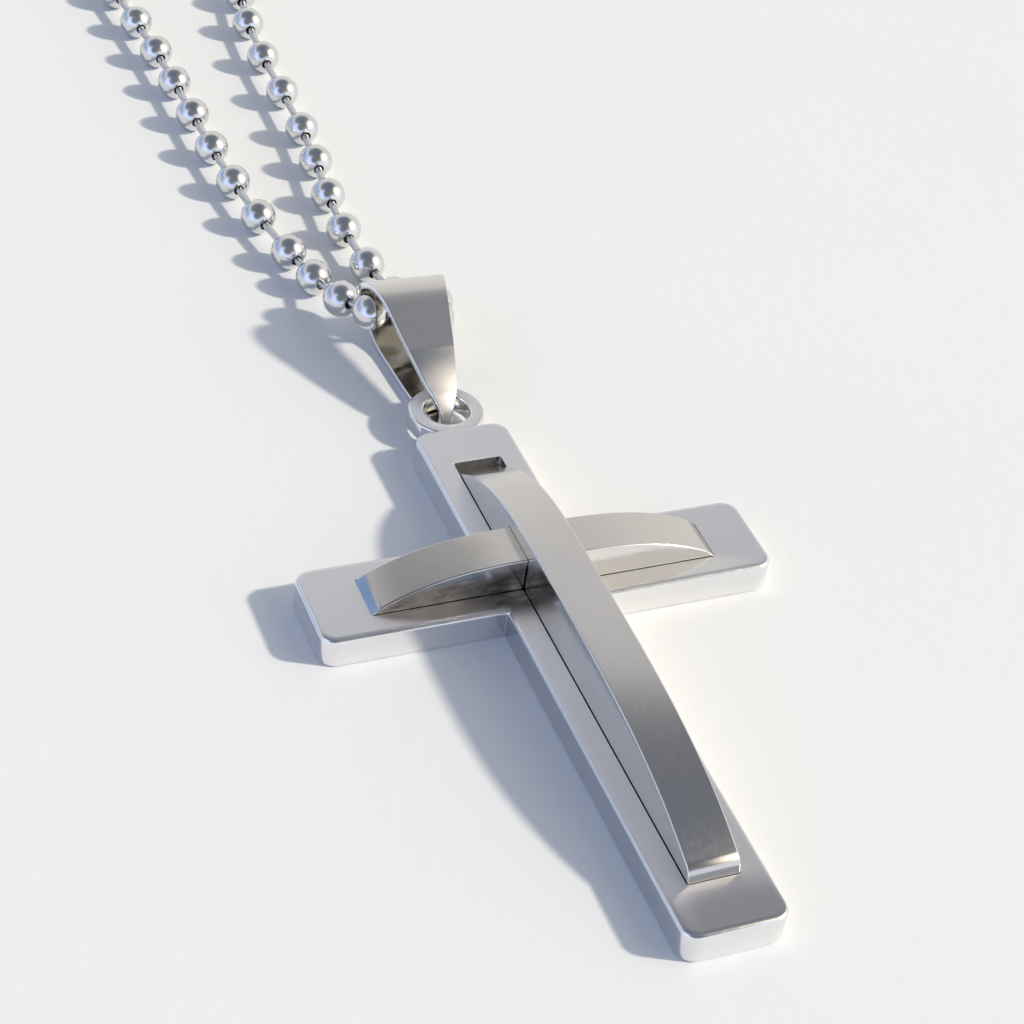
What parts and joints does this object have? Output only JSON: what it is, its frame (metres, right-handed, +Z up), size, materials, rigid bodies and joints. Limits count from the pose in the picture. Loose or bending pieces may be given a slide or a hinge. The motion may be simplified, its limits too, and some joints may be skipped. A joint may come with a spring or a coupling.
{
  "type": "cross pendant with bail on a ball chain",
  "caption": "Flat Latin cross with crossed arched bands set in a polished recess, an eye ring and tapered strip bail, threaded on a closed ball chain; worn round the neck.",
  "frame": {"origin": "middle of the bounding box's underside, on the surface that the pendant lies on", "axes": "+X towards the cross's left-hand arm as worn (the picture's right), +Y from the foot of the cross towards the bail and the chain's far end, +Z up from the surface, out of the cross's front face"},
  "size_m": [0.0806, 0.273, 0.0053],
  "materials": {
    "cross_steel": "satin",
    "band_steel": "brushed",
    "bail_steel": "satin",
    "bead_steel": "polished",
    "link_steel": "polished"
  },
  "bodies": {
    "root": {"cross_base": "cross_steel", "long_band": "band_steel", "short_band": "band_steel", "bail": "bail_steel", "chain_left": "bead_steel", "chain_right": "bead_steel", "chain_links": "link_steel", "chain_clasp": "link_steel"}
  },
  "joints": []
}
